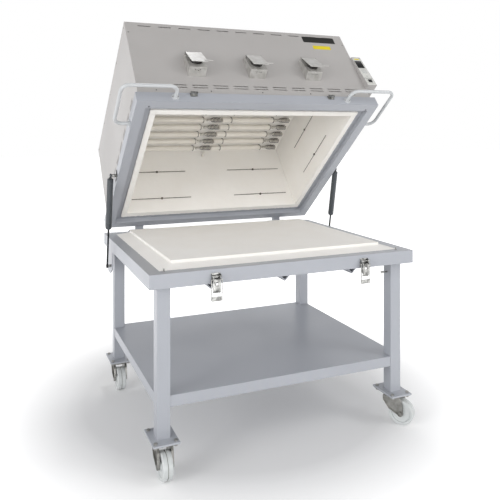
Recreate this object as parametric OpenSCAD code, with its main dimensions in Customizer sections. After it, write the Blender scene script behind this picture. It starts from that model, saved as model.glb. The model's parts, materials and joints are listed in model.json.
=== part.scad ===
// Bead annealing kiln: a hinged, fibre-lined hood over a wheeled table.
// Lengths are millimetres. The origin is on the floor, under the middle of the open kiln.
// Pieces of the table are written from the table's own middle, and pieces of the hood from
// the middle of the hood's rear lower edge, with -Y to the front and the hood closed flat.

/* [Table] */
// Width of the table
table_w = 1380; // [1200:10:1600]
// Depth of the table
table_d = 1140; // [1000:10:1300]
// Height of the table top above the floor
table_top = 900; // [860:5:950]
// Height of the edge beam
beam_h = 64; // [54:1:80]
// Sheet thickness of the edge beam
beam_t = 3; // [2:0.5:4]
// Width of the bare band beside the bed
band_side = 59; // [55:1:70]
// Width of the bare band in front of the bed
band_front = 58; // [55:1:70]
// Width of the bare band behind the bed
band_rear = 79; // [60:1:90]
// Thickness of the deck sheet under the bed
deck_t = 3; // [2:0.5:5]
// Side of the square legs
leg_w = 60; // [50:1:70]
// Wall of the leg tube
leg_t = 3; // [2:0.5:5]
// Distance from the table's sides and front to the legs
leg_inset = 45; // [38:1:60]
// Distance from the table's rear to the rear legs
leg_inset_rear = 30; // [20:1:60]
// Leg of the angle bars under the deck
cross_leg = 68; // [50:1:80]
// Thickness of the angle bars
cross_t = 5; // [3:0.5:8]
// Spacing of the angle bars
cross_pitch = 380; // [300:10:450]

/* [Shelf] */
// Height of the shelf's top
shelf_top = 350; // [300:5:500]
// Height of the shelf's folded edge
shelf_edge = 50; // [30:1:70]
// Sheet thickness of the shelf
shelf_t = 2.5; // [1.5:0.5:4]
// How far the shelf's edge lies behind the faces of the legs
shelf_set = 2; // [1:0.5:10]

/* [Bed] */
// Height of the bed's top above the table top
bed_rise = 30; // [24:1:40]
// Height of the sloping rim's inner edge above the table top
rim_rise = 16; // [8:1:17]
// Gap between the bed and the hood's lining when the hood is shut
bed_gap = 3; // [2:0.5:6]

/* [Castors] */
// Diameter of the wheels
wheel_d = 125; // [100:5:130]
// Width of the wheels
wheel_w = 46; // [36:1:50]
// Height from the floor to the castor's top plate
castor_h = 159; // [155:1:170]
// Horizontal distance from the swivel to the wheel's axle
trail = 52; // [40:1:60]
// Axle diameter
axle_d = 12; // [10:0.5:16]
// Thickness of the foot plates under the legs
foot_t = 8; // [5:1:12]
// Width of the foot plates
foot_w = 120; // [110:1:130]
// Length of the foot plates
foot_l = 170; // [150:1:180]
// Turn of the front right castor
turn_fr = 37; // [0:1:90]

/* [Hood] */
// Distance from the table's sides to the hood's sides
hood_set = 10; // [6:1:14]
// Distance from the table's front and rear to the hood's
hood_set_y = 2; // [0:1:6]
// Height of the hood, with its frame
hood_h = 586; // [520:2:640]
// Height of the hood's frame
hood_frame_h = 60; // [50:1:80]
// Distance from the frame's outside to the casing
casing_set = 16; // [10:1:24]
// Thickness of the casing sheets
casing_t = 1.5; // [1:0.5:3]
// Thickness of the frame's sheet
frame_t = 3; // [2:0.5:4]
// Width of the frame's flat underside
flat_w = 50; // [45:1:55]
// Distance from the frame's outside to the back of the lining
lining_back = 46; // [44:1:49]
// Distance from the frame's outside to the lining's lip
lip_set = 85; // [70:1:95]
// Height of the lip's face above the frame's underside
lip_z = 19; // [18:0.5:22]
// Distance from the frame's side to the chamber
chamber_side = 115; // [100:1:130]
// Distance from the frame's front to the chamber
chamber_front = 116; // [100:1:130]
// Distance from the frame's rear to the chamber
chamber_rear = 120; // [100:1:130]
// Distance from the hood's top down to the chamber's ceiling
ceiling_drop = 99; // [86:1:146]
// Thickness of the roof lining
roof_t = 70; // [50:1:80]
// Gap under the closed hood
hood_gap = 4; // [2:0.5:8]
// Angle at which the hood stands open
open_angle = 40; // [20:1:40]

/* [Hinges] */
// How far the hinge axis lies behind the table
hinge_out = 39; // [36:1:50]
// How far the hinge axis lies below the table top
hinge_drop = 10; // [6:1:20]
// Distance of each hinge from the middle
hinge_x = 469; // [350:1:560]
// Diameter of the hinge pins
hinge_pin_d = 12; // [8:0.5:16]
// Outer diameter of the knuckles
knuckle_d = 28; // [24:1:34]
// Length of the middle knuckle
knuckle_mid = 48; // [30:1:60]
// Length of each outer knuckle
knuckle_end = 35; // [20:1:45]

/* [Gas struts] */
// Distance from the table's side to the middle of each strut
strut_out = 22; // [20:1:40]
// Diameter of the cylinder
cylinder_d = 34; // [26:1:36]
// Length of the cylinder
cylinder_l = 288; // [240:1:290]
// Diameter of the rod
rod_d = 10; // [8:1:14]
// Distance from the table's rear to the lower pivot
strut_low_y = 235; // [210:1:250]
// Drop of the lower pivot below the table top
strut_drop = 147; // [140:1:160]
// Place of the upper stud in front of the hood's rear
strut_up_y = 490; // [460:1:520]
// Height of the upper stud on the hood's frame
strut_up_z = 35; // [25:1:40]
// Thickness of the strut's eyes
eye_t = 8; // [5:0.5:10]

/* [Chamber fittings] */
// Pitch of the heating tubes
tube_pitch = 72; // [60:1:90]
// Most rows of heating tubes that the roof carries
tube_rows = 11; // [6:1:11]
// Diameter of the heating tubes
tube_d = 30; // [20:1:34]
// Diameter of the heating coils
coil_d = 34; // [24:1:38]
// Diameter of the core that carries the coils
core_d = 14; // [8:0.5:20]
// Length of the open stretch of each heating coil
coil_l = 118; // [90:1:170]
// Where the left bank of tubes ends, right of the middle
bank_end = 48; // [0:1:60]
// Room between the right bank and the wall
bank_room = 34; // [10:1:60]
// Drop of the tubes below the ceiling
tube_drop = 26; // [24:1:34]
// Length of the seams in the lining
seam_l = 380; // [200:5:420]

/* [Casing details] */
// Pitch of the cooling slots
slot_pitch = 112; // [95:1:130]
// Length of the upper slots
slot_top_l = 70; // [40:1:85]
// Length of the lower slots
slot_low_l = 80; // [40:1:90]
// Height of each slot
slot_h = 5.5; // [3:0.5:8]
// Distance between the flues
flue_pitch = 340; // [200:5:400]
// Width of the flue boxes
flue_w = 95; // [80:1:120]
// Width of the flue flaps
flap_w = 87; // [70:1:87]
// Length of the flue flaps
flap_l = 122; // [90:1:130]
// Lean of the flue flaps from the wall
flap_lean = 22.5; // [20:0.5:25]
// Width of the control box
control_w = 60; // [50:1:70]
// Height of the control box
control_h = 252; // [230:1:280]
// Depth of the control box
control_d = 230; // [180:1:300]
// Diameter of the handle tubes
handle_d = 18; // [14:1:22]
// Bend radius of the handle tubes
handle_r = 40; // [30:1:60]
// Reach of the handles past the frame
handle_reach = 76; // [60:1:100]

/* [Latches] */
// Distance of each latch from the middle
latch_x = 390; // [300:5:500]
// Width of the latch bodies
latch_w = 44; // [36:1:50]
// Length of the latch levers
lever_l = 66; // [50:1:80]
// Length of the latch bails
bail_l = 94; // [80:1:94]

/* [Hidden] */

$fn = 48;
// Overlap of cuts and of pieces that are fused
eps = 0.5;
// Running clearance between moving pieces
run_gap = 0.6;
// Clearance of pieces that pass through a hole
hole_gap = 0.4;

paint = "#b3b9c3";
casing_paint = "#aaa7a4";
zinc = "#8f9290";
steel = "#c4c6c6";
fibre = "#ece6db";
white_fibre = "#f1eee9";
strut_black = "#3a3f45";
nylon = "#dfe2e3";

beam_z = table_top - beam_h;
hood_w = table_w - 2 * hood_set;
hood_d = table_d - 2 * hood_set_y;
hinge_y = table_d / 2 + hinge_out;
hinge_z = table_top - hinge_drop;
hood_y = table_d / 2 - hood_set_y;
hood_z = table_top + hood_gap;

// Legs
leg_x = table_w / 2 - leg_inset - leg_w / 2;
leg_front = -table_d / 2 + leg_inset + leg_w / 2;
leg_rear = table_d / 2 - leg_inset_rear - leg_w / 2;
leg_spots = [[-leg_x, leg_front], [leg_x, leg_front], [-leg_x, leg_rear], [leg_x, leg_rear]];
leg_bottom = castor_h + foot_t;
foot_flange = leg_inset + leg_w + 5;

// Chamber limits in the hood's frame
chamber_x = hood_w / 2 - chamber_side;
chamber_y0 = -hood_d + chamber_front;
chamber_y1 = -chamber_rear;
ceiling_z = hood_h - ceiling_drop;
ledge_z = 32;
casing_x = hood_w / 2 - casing_set;
casing_y0 = -hood_d + casing_set;
casing_y1 = -casing_set;

// Struts: from the hood's stud to the table's pin
strut_x = table_w / 2 + strut_out;
low_pin = [table_d / 2 - strut_low_y, table_top - strut_drop];
function on_table(y, z) = let (dy = hood_y + y - hinge_y, dz = hood_z + z - hinge_z)
    [hinge_y + dy * cos(open_angle) + dz * sin(open_angle),
     hinge_z - dy * sin(open_angle) + dz * cos(open_angle)];
up_pin = on_table(-strut_up_y, strut_up_z);
strut_l = norm(up_pin - low_pin);
strut_lean = atan2(low_pin[0] - up_pin[0], up_pin[1] - low_pin[1]);
eye_r = 11;
strut_pin_d = 8;

// Latches
latch_face = 12;
lever_z = table_top - 28;
lever_y = -table_d / 2 - latch_face;
bail_y = lever_y - 6;
bail_z = lever_z - 14;
bail_wire = 4;

// The open kiln's foremost and rearmost points, from the table's middle
front_most = leg_front - trail - wheel_d / 2;
rear_most = on_table(casing_y1, hood_h)[0];
row_y = -(front_most + rear_most) / 2;

// A box from its lowest to its highest corner
module block(lo, hi) translate(lo) cube(hi - lo);

// Puts pieces written from the table's middle in their place
module at_table() translate([0, row_y, 0]) children();

// Puts pieces written in the hood's frame in their place, with the hood open
module at_hood() at_table()
    translate([0, hinge_y, hinge_z]) rotate([-open_angle, 0, 0])
    translate([0, hood_y - hinge_y, hood_z - hinge_z]) children();

// Both sides of the kiln
module both() for (s = [-1, 1]) scale_x(s) children();
module scale_x(s) if (s > 0) children(); else mirror([1, 0, 0]) children();

// A rod along X, Y or Z
module rod_x(x0, x1, d) translate([x0, 0, 0]) rotate([0, 90, 0]) cylinder(h = x1 - x0, d = d);
module rod_y(y0, y1, d) translate([0, y0, 0]) rotate([-90, 0, 0]) cylinder(h = y1 - y0, d = d);
module rod_z(z0, z1, d) translate([0, 0, z0]) cylinder(h = z1 - z0, d = d);

// A bolt with a hexagon head that stands up from z = 0
module bolt_up(d, l, head) {
    translate([0, 0, -l]) cylinder(h = l + eps, d = d);
    cylinder(h = head, d = d * 1.8, $fn = 6);
}

module table_frame() color(paint) at_table() difference() {
    block([-table_w / 2, -table_d / 2, beam_z], [table_w / 2, table_d / 2, table_top]);
    // space between the flanges
    block([-table_w / 2 + beam_t, -table_d / 2 + beam_t, beam_z + beam_t],
          [table_w / 2 - beam_t, table_d / 2 - beam_t, table_top - beam_t]);
    // opening round the bed
    block([-table_w / 2 + band_side, -table_d / 2 + band_front, table_top - beam_t - eps],
          [table_w / 2 - band_side, table_d / 2 - band_rear, table_top + eps]);
    // opening between the lower flanges
    block([-table_w / 2 + foot_flange, -table_d / 2 + foot_flange, beam_z - eps],
          [table_w / 2 - foot_flange, table_d / 2 - foot_flange, beam_z + beam_t + eps]);
}

module deck_plate() color(paint) at_table()
    block([-table_w / 2 + beam_t, -table_d / 2 + beam_t, beam_z + beam_t],
          [table_w / 2 - beam_t, table_d / 2 - beam_t, beam_z + beam_t + deck_t]);

module legs() color(paint) at_table() for (p = leg_spots) translate(p) difference() {
    block([-leg_w / 2, -leg_w / 2, leg_bottom], [leg_w / 2, leg_w / 2, beam_z]);
    block([-leg_w / 2 + leg_t, -leg_w / 2 + leg_t, leg_bottom - eps],
          [leg_w / 2 - leg_t, leg_w / 2 - leg_t, beam_z + eps]);
}

// Angle bars, corner down, welded between the lower flanges of the beams
module cross_members() color(paint) at_table() for (i = [-1, 0, 1])
    translate([i * cross_pitch, -table_d / 2 + foot_flange - 20, beam_z])
    rotate([-90, 0, 0]) linear_extrude(table_d - 2 * foot_flange + 40)
    intersection() {
        rotate(45) difference() {
            translate([-cross_leg / 2, -cross_leg / 2]) square(cross_leg);
            translate([-cross_leg / 2 - cross_t, -cross_leg / 2 - cross_t]) square(cross_leg);
        }
        translate([-cross_leg, 0]) square([2 * cross_leg, cross_leg]);
    }

// Folded tray, turned down at its edges, with a notch round each leg
module shelf() color(paint) at_table() {
    x = leg_x + leg_w / 2 - shelf_set;
    y0 = leg_front - leg_w / 2 + shelf_set;
    y1 = leg_rear + leg_w / 2 - shelf_set;
    difference() {
        block([-x, y0, shelf_top - shelf_edge], [x, y1, shelf_top]);
        block([-x + shelf_t, y0 + shelf_t, shelf_top - shelf_edge - eps],
              [x - shelf_t, y1 - shelf_t, shelf_top - shelf_t]);
        for (p = leg_spots) translate(p)
            block([-leg_w / 2, -leg_w / 2, shelf_top - shelf_edge - eps],
                  [leg_w / 2, leg_w / 2, shelf_top + eps]);
    }
}

// Swivel head measures
head_d = 74;
head_h = 12;
plate_t = 4;
king_d = 16;
crown_d = 84;
crown_t = 7;
head_z = castor_h - plate_t - head_h;

// Foot plates of the legs, the castors' own plates with the swivel race, and their bolts
module castor_plates() at_table() for (p = leg_spots) translate(p) {
    color(paint) difference() {
        block([-foot_w / 2, -foot_l / 2, castor_h], [foot_w / 2, foot_l / 2, castor_h + foot_t]);
        for (x = [-1, 1], y = [-1, 1]) translate([x * 45, y * 66, 0])
            rod_z(castor_h - eps, castor_h + foot_t + eps, 10 + 2 * hole_gap);
    }
    color(zinc) difference() {
        union() {
            block([-57, -80, castor_h - plate_t], [57, 80, castor_h]);
            rod_z(head_z, castor_h - eps, head_d);
        }
        rod_z(head_z - eps, castor_h - 3, king_d + 2 * run_gap);
        for (x = [-1, 1], y = [-1, 1]) translate([x * 45, y * 66, 0])
            rod_z(castor_h - plate_t - eps, castor_h + eps, 10 + 2 * hole_gap);
    }
    color(steel) for (x = [-1, 1], y = [-1, 1]) translate([x * 45, y * 66, castor_h + foot_t]) {
        bolt_up(10, foot_t + plate_t + eps, 6.5);
        translate([0, 0, -foot_t - plate_t - 8]) cylinder(h = 8, d = 18, $fn = 6);
    }
}

// Pressed fork: crown, two rimmed arms that narrow to the axle, king pin and axle bolt
arm_rim = 8;
module arm_outline(axle_z, crown_top) {
    polygon([[-trail - 14, axle_z], [-trail + 12, axle_z - 8], [8, axle_z + 16], [36, crown_top - 24],
             [38, crown_top - 1], [-46, crown_top - 1], [-60, crown_top - 20], [-trail - 15, axle_z + 14]]);
    translate([-trail, axle_z]) circle(r = 15);
}
module castor_fork(p, turn) at_table() translate(p) rotate(turn) {
    crown_top = head_z - run_gap;
    arm_t = 3.5;
    arm_x = wheel_w / 2 + 3;
    axle_z = wheel_d / 2;
    color(zinc) {
        difference() {
            union() {
                rod_z(crown_top - crown_t, crown_top, crown_d);
                rod_z(crown_top - eps, castor_h - plate_t - eps, king_d);
                for (s = [-1, 1]) translate([s * (arm_x + arm_t / 2) - arm_t / 2, 0, 0])
                    rotate([90, 0, 90]) {
                        linear_extrude(arm_t) arm_outline(axle_z, crown_top);
                        // rim turned outwards round the arm
                        translate([0, 0, s > 0 ? 0 : -arm_rim]) linear_extrude(arm_t + arm_rim) difference() {
                            arm_outline(axle_z, crown_top);
                            offset(delta = -3) arm_outline(axle_z, crown_top);
                        }
                    }
                // webs that turn the crown down to the arms
                for (s = [-1, 1]) translate([s * (arm_x + arm_t) - (s > 0 ? 0 : 9), -44, crown_top - 7])
                    cube([9, 80, 6]);
            }
            // the arms' bore for the axle
            translate([0, -trail, axle_z]) rod_x(-arm_x - 2 * arm_t, arm_x + 2 * arm_t, axle_d + 2 * hole_gap);
            // the crown's room for the wheel
            translate([0, -trail, axle_z]) rod_x(-arm_x, arm_x, wheel_d + 8);
        }
    }
    color(steel) translate([0, -trail, axle_z]) {
        rod_x(-arm_x - arm_t - 4, arm_x + arm_t + 4, axle_d);
        for (s = [-1, 1]) translate([s * (arm_x + arm_t + 0.1) + (s > 0 ? 0 : -8), 0, 0])
            rotate([0, 90, 0]) cylinder(h = 8, d = 20, $fn = 6);
    }
}

// Nylon wheel with a groove round its tread and dished sides
module castor_wheel(p, turn) color(nylon) at_table() translate(p) rotate(turn)
    translate([0, -trail, wheel_d / 2]) rotate([0, 90, 0]) rotate_extrude($fn = 72)
    polygon([
        [axle_d / 2 + hole_gap, -wheel_w / 2 - 2], [18, -wheel_w / 2 - 2], [20, -wheel_w / 2 + 5],
        [46, -wheel_w / 2 + 5], [49, -wheel_w / 2], [wheel_d / 2 - 4, -wheel_w / 2],
        [wheel_d / 2, -wheel_w / 2 + 4], [wheel_d / 2, -3], [wheel_d / 2 - 3, 0], [wheel_d / 2, 3],
        [wheel_d / 2, wheel_w / 2 - 4], [wheel_d / 2 - 4, wheel_w / 2], [49, wheel_w / 2],
        [46, wheel_w / 2 - 5], [20, wheel_w / 2 - 5], [18, wheel_w / 2 + 2],
        [axle_d / 2 + hole_gap, wheel_w / 2 + 2]]);

// Fibre boards inside the beam
board_z = beam_z + beam_t + deck_t;
module bed_boards() color(white_fibre) at_table()
    block([-table_w / 2 + beam_t, -table_d / 2 + beam_t, board_z],
          [table_w / 2 - beam_t, table_d / 2 - beam_t, table_top - beam_t]);

// Slab limits follow the hood's chamber, seen with the hood shut
slab_x = chamber_x - bed_gap;
slab_y0 = hood_y + chamber_y0 + bed_gap;
slab_y1 = hood_y + chamber_y1 - bed_gap;

// Sloping fibre rim, from the bare band up to the slab
module bed_rim() color(white_fibre) at_table() {
    x = table_w / 2 - band_side;
    y0 = -table_d / 2 + band_front;
    y1 = table_d / 2 - band_rear;
    z0 = table_top - beam_t;
    z2 = table_top + rim_rise;
    intersection() {
        translate([0, table_d / 2, 0]) rotate([90, 0, 0]) linear_extrude(table_d)
            polygon([[-x, z0], [x, z0], [x, table_top], [slab_x, z2], [-slab_x, z2], [-x, table_top]]);
        translate([-table_w / 2, 0, 0]) rotate([90, 0, 90]) linear_extrude(table_w)
            polygon([[y0, z0], [y1, z0], [y1, table_top], [slab_y1, z2], [slab_y0, z2], [y0, table_top]]);
    }
}

module bed_slab() color(fibre) at_table()
    block([-slab_x, slab_y0, table_top + rim_rise], [slab_x, slab_y1, table_top + bed_rise]);

// Pegs that find the holes in the hood's frame
peg_inset = 75;
peg_x = table_w / 2 - peg_inset;
peg_y = -table_d / 2 + 43;
peg_d = 6;
peg_h = 14;
module locating_pegs() color(steel) at_table() both() translate([peg_x, peg_y, table_top]) {
    rod_z(0, peg_h, peg_d);
    rod_z(0, 2, 11);
}

// Plates that carry the struts' lower ends, flush with the table's sides
bracket_t = 6;
bracket_front = 35;
bracket_foot = 30;
bracket_rear = 145;
bracket_slope = 50;
bracket_rise = 10;
bracket_drop = 48;
module strut_brackets() color(paint) at_table() both()
    translate([table_w / 2 - bracket_t, 0, 0]) rotate([90, 0, 90]) linear_extrude(bracket_t)
    let (y0 = low_pin[0] - bracket_front, y1 = low_pin[0] + bracket_rear, z = low_pin[1] - bracket_drop)
    polygon([[y0, beam_z], [y1, beam_z], [y1, low_pin[1] + bracket_rise], [y1 - bracket_slope, z],
             [low_pin[0] + bracket_foot, z], [y0, low_pin[1] - bracket_rise]]);

// Pins with a collar each side of the strut's eye
collar_d = 16;
pin_end = 3;
module strut_lower_pins() color(steel) at_table() both() translate([0, low_pin[0], low_pin[1]]) {
    rod_x(table_w / 2, strut_x + eye_t / 2 + pin_end, strut_pin_d);
    rod_x(table_w / 2, strut_x - eye_t / 2 - run_gap, collar_d);
    rod_x(strut_x + eye_t / 2 + run_gap, strut_x + eye_t / 2 + pin_end, collar_d);
}

// Latch bodies on the front beam: a plate with two ears and the lever's pin
module latch_bases() color(steel) at_table() both() translate([latch_x, -table_d / 2, 0])
    difference() {
        union() {
            block([-latch_w / 2, -3, beam_z + 4], [latch_w / 2, 0, table_top - 16]);
            for (s = [-1, 1]) translate([s * (latch_w / 2 - 1.25) - 1.25, 0, lever_z])
                rotate([90, 0, 90]) linear_extrude(2.5) {
                    polygon([[-latch_face, 6], [-latch_face, -6], [-2, -24], [-2, 11], [-latch_face + 4, 7]]);
                    translate([-latch_face, 0]) circle(r = 7);
                }
            translate([0, -latch_face, lever_z]) rod_x(-latch_w / 2, latch_w / 2, 5);
        }
        for (z = [-18, -28]) translate([0, 0, lever_z + z]) rod_y(-4, 1, 4.5);
    }

// Small stop on the inner face of the front right leg
module leg_stud() color(steel) at_table() translate([leg_x - leg_w / 2, leg_front, beam_z - 53]) {
    rod_x(-30, 0, 8);
    rod_x(-37, -30, 14);
}

// Hinges behind the rear beam
knuckle_gap = 1;
knuckle_l = knuckle_mid + 2 * knuckle_end + 2 * knuckle_gap;
module table_hinge_leaves() color(paint) at_table() both() translate([hinge_x, 0, 0]) difference() {
    union() {
        block([-knuckle_l / 2, table_d / 2, beam_z + 2], [knuckle_l / 2, table_d / 2 + 6, table_top - 2]);
        for (s = [-1, 1]) translate([s * (knuckle_l - knuckle_end) / 2 - knuckle_end / 2, 0, 0]) {
            translate([0, hinge_y, hinge_z]) rod_x(0, knuckle_end, knuckle_d);
            rotate([90, 0, 90]) linear_extrude(knuckle_end)
                polygon([[table_d / 2 + 5, beam_z + 6], [table_d / 2 + 5, hinge_z + 6],
                         [hinge_y, hinge_z + knuckle_d / 2], [hinge_y + 10, hinge_z - 9]]);
        }
    }
    translate([0, hinge_y, hinge_z]) rod_x(-knuckle_l, knuckle_l, hinge_pin_d + 2 * hole_gap);
    // room for the hood's arm
    block([-knuckle_mid / 2 - knuckle_gap, table_d / 2 + 6, beam_z],
          [knuckle_mid / 2 + knuckle_gap, table_d / 2 + 80, table_top + 40]);
}

module hinge_pins() color(steel) at_table() both() translate([hinge_x, hinge_y, hinge_z]) {
    rod_x(-knuckle_l / 2 - 3, knuckle_l / 2 + 3, hinge_pin_d);
    for (s = [-1, 1]) translate([s * (knuckle_l / 2 + 3.25) - 2.75, 0, 0]) rod_x(0, 5.5, 18);
}

// The hood's arms, which reach down behind the closed frame to the hinge pins
module hood_hinge_leaves() color(paint) at_hood() both() translate([hinge_x, 0, 0]) {
    y = hinge_y - hood_y;
    z = hinge_z - hood_z;
    difference() {
        union() {
            block([-knuckle_l / 2, 0, 14], [knuckle_l / 2, 6, hood_frame_h - 2]);
            translate([0, y, z]) rod_x(-knuckle_mid / 2, knuckle_mid / 2, knuckle_d);
            translate([-knuckle_mid / 2, 0, 0]) rotate([90, 0, 90]) linear_extrude(knuckle_mid)
                polygon([[5, hood_frame_h - 8], [5, 14], [y - 14, z + 2], [y, z - 4], [y + 13, z + 4]]);
        }
        translate([0, y, z]) rod_x(-knuckle_l, knuckle_l, hinge_pin_d + 2 * hole_gap);
    }
}

// A rectangular ring between two distances from the hood's outline
module ring(a, b, z0, z1) difference() {
    block([-hood_w / 2 + a, -hood_d + a, z0], [hood_w / 2 - a, -a, z1]);
    block([-hood_w / 2 + b, -hood_d + b, z0 - eps], [hood_w / 2 - b, -b, z1 + eps]);
}

// Folded frame: outer web, flat underside, upstand, ledge under the lining, top flange
module hood_frame() color(paint) at_hood() difference() {
    union() {
        ring(0, frame_t, 0, hood_frame_h);
        ring(0, flat_w, 0, frame_t);
        ring(flat_w - frame_t, flat_w, 0, ledge_z);
        ring(flat_w - frame_t, lip_set, ledge_z - frame_t, ledge_z);
        ring(0, lining_back, hood_frame_h - frame_t, hood_frame_h);
    }
    for (s = [-1, 1]) translate([s * peg_x, peg_y - hood_y, 0])
        rod_z(-eps, frame_t + eps, peg_d + 4);
}

// How many slots fit along a sheet, with room at its ends
slot_room = 60;
function slot_count(l, pitch) = floor((l - slot_low_l - 2 * slot_room) / pitch) + 1;
front_slots = slot_count(2 * casing_x, slot_pitch);
side_pitch = slot_pitch + 4;
side_slots = slot_count(casing_y1 - casing_y0, side_pitch);

// A row of n slots along X, centred
module slots(n, pitch, l, t) for (i = [0 : n - 1])
    translate([(i - (n - 1) / 2) * pitch - l / 2, -t, -slot_h / 2]) cube([l, 2 * t, slot_h]);

slot_low_z = [113, 130];
slot_top_z = hood_h - 26;
panel_top = hood_h - casing_t;
module front_panel() color(casing_paint) at_hood() difference() {
    block([-casing_x, casing_y0, hood_frame_h], [casing_x, casing_y0 + casing_t, panel_top]);
    translate([0, casing_y0, slot_top_z]) slots(front_slots, slot_pitch, slot_top_l, 2 * casing_t);
    for (z = slot_low_z) translate([0, casing_y0, z]) slots(front_slots, slot_pitch, slot_low_l, 2 * casing_t);
    for (i = [-1, 0, 1]) translate([i * flue_pitch, casing_y0, flue_z + flue_hole_up]) rod_y(-5, 5, flue_hole_d);
}

module rear_panel() color(casing_paint) at_hood() difference() {
    block([-casing_x, casing_y1 - casing_t, hood_frame_h], [casing_x, casing_y1, panel_top]);
    for (z = slot_low_z) translate([0, casing_y1, z]) slots(front_slots, slot_pitch, slot_low_l, 2 * casing_t);
    translate([0, casing_y1, probe_z]) rod_y(-5, 5, probe_d + 4);
}

module side_panel() difference() {
    block([casing_x - casing_t, casing_y0 + casing_t, hood_frame_h],
          [casing_x, casing_y1 - casing_t, panel_top]);
    for (z = slot_low_z) translate([casing_x, (casing_y0 + casing_y1) / 2, z])
        rotate(90) slots(side_slots, side_pitch, slot_low_l, 2 * casing_t);
}
module right_panel() color(casing_paint) at_hood() side_panel();
module left_panel() color(casing_paint) at_hood() mirror([1, 0, 0]) side_panel();

module roof_panel() color(casing_paint) at_hood()
    block([-casing_x, casing_y0, panel_top], [casing_x, casing_y1, hood_h]);

// Lining blocks: 70 mm walls on the ledge, with a lip that hangs inside it
seam_t = 4;
seam_z = [114, 316];
seam_in = 230;
seam_x = chamber_x - seam_in;
module front_lining() color(fibre) at_hood() difference() {
    union() {
        block([-hood_w / 2 + lining_back, -hood_d + lining_back, ledge_z],
              [hood_w / 2 - lining_back, chamber_y0, ceiling_z]);
        block([-hood_w / 2 + lip_set, -hood_d + lip_set, lip_z],
              [hood_w / 2 - lip_set, chamber_y0, ledge_z + eps]);
    }
    for (z = seam_z, i = [-1, 1]) translate([i * seam_x - seam_l / 2, chamber_y0 - seam_t, z - 1.5])
        cube([seam_l, seam_t + eps, 3]);
}

module rear_lining() color(fibre) at_hood() difference() {
    union() {
        block([-hood_w / 2 + lining_back, chamber_y1, ledge_z],
              [hood_w / 2 - lining_back, -lining_back, ceiling_z]);
        block([-hood_w / 2 + lip_set, chamber_y1, lip_z],
              [hood_w / 2 - lip_set, -lip_set, ledge_z + eps]);
    }
    for (z = seam_z, i = [-1, 1]) translate([i * seam_x - seam_l / 2, chamber_y1 - eps, z - 1.5])
        cube([seam_l, seam_t + eps, 3]);
    translate([0, 0, probe_z]) rod_y(-hood_d, 0, probe_d + 2);
}

module side_linings() color(fibre) at_hood() both() difference() {
    union() {
        block([chamber_x, chamber_y0, ledge_z], [hood_w / 2 - lining_back, chamber_y1, ceiling_z]);
        block([chamber_x, chamber_y0, lip_z], [hood_w / 2 - lip_set, chamber_y1, ledge_z + eps]);
    }
    for (z = seam_z, y = [chamber_y0 / 2 + chamber_y1 / 2])
        translate([chamber_x - eps, y + 25 - seam_l / 2, z - 1.5]) cube([seam_t + eps, seam_l, 3]);
}

module roof_lining() color(fibre) at_hood()
    block([-hood_w / 2 + lining_back, -hood_d + lining_back, ceiling_z],
          [hood_w / 2 - lining_back, -lining_back, ceiling_z + roof_t]);

// Heating elements: two banks of rows along X, each a sheathed stretch and an open coil
row_rear = 62;
row_front = 60;
row_y0 = chamber_y1 - row_rear;
rows = min(tube_rows, floor((row_y0 - chamber_y0 - row_front) / tube_pitch) + 1);
tube_z = ceiling_z - tube_drop;
bank_x = [[-chamber_x + 5, bank_end - 4], [bank_end, chamber_x - bank_room]];
module each_row() for (i = [0 : rows - 1]) translate([0, row_y0 - i * tube_pitch, tube_z]) children();

// Every row's core passes through the sheath, and the coil sits on its bare end
module heating_tubes() color(white_fibre) at_hood() each_row() for (b = bank_x) {
    rod_x(b[0], b[1] - coil_l, tube_d);
    rod_x(b[0] + eps, b[1], core_d);
}

module heating_coils() color("#2f2b29") at_hood() each_row() for (b = bank_x)
    translate([b[1] - coil_l + 4, 0, 0]) rotate([0, 90, 0]) difference() {
        cylinder(h = coil_l - 8, d = coil_d);
        translate([0, 0, -eps]) cylinder(h = coil_l, d = core_d + 2 * hole_gap);
    }

// Wire hooks that hang the tubes from the ceiling
hook_wire = 3;
module element_hooks() color(zinc) at_hood() each_row() for (b = bank_x, x = [b[0] + 60, b[1] - coil_l - 8])
    translate([x, 0, 0]) {
        rotate([0, 90, 0]) difference() {
            cylinder(h = hook_wire, d = tube_d + 2 * hook_wire + 1);
            translate([0, 0, -eps]) cylinder(h = hook_wire + 2 * eps, d = tube_d + 0.6);
        }
        block([0, -hook_wire / 2, tube_d / 2 + 1], [hook_wire, hook_wire / 2, tube_drop]);
    }

// Ceramic buttons that pin the lining, at the middle of each seam
module lining_anchors() color(zinc) at_hood() for (z = seam_z) {
    for (i = [-1, 1]) {
        translate([i * seam_x, chamber_y1, z]) rod_y(-5, 0, 14);
        translate([i * seam_x, chamber_y0, z]) rod_y(0, 5, 14);
    }
    both() translate([chamber_x, (chamber_y0 + chamber_y1) / 2 + 25, z]) rod_x(-5, 0, 14);
}

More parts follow.
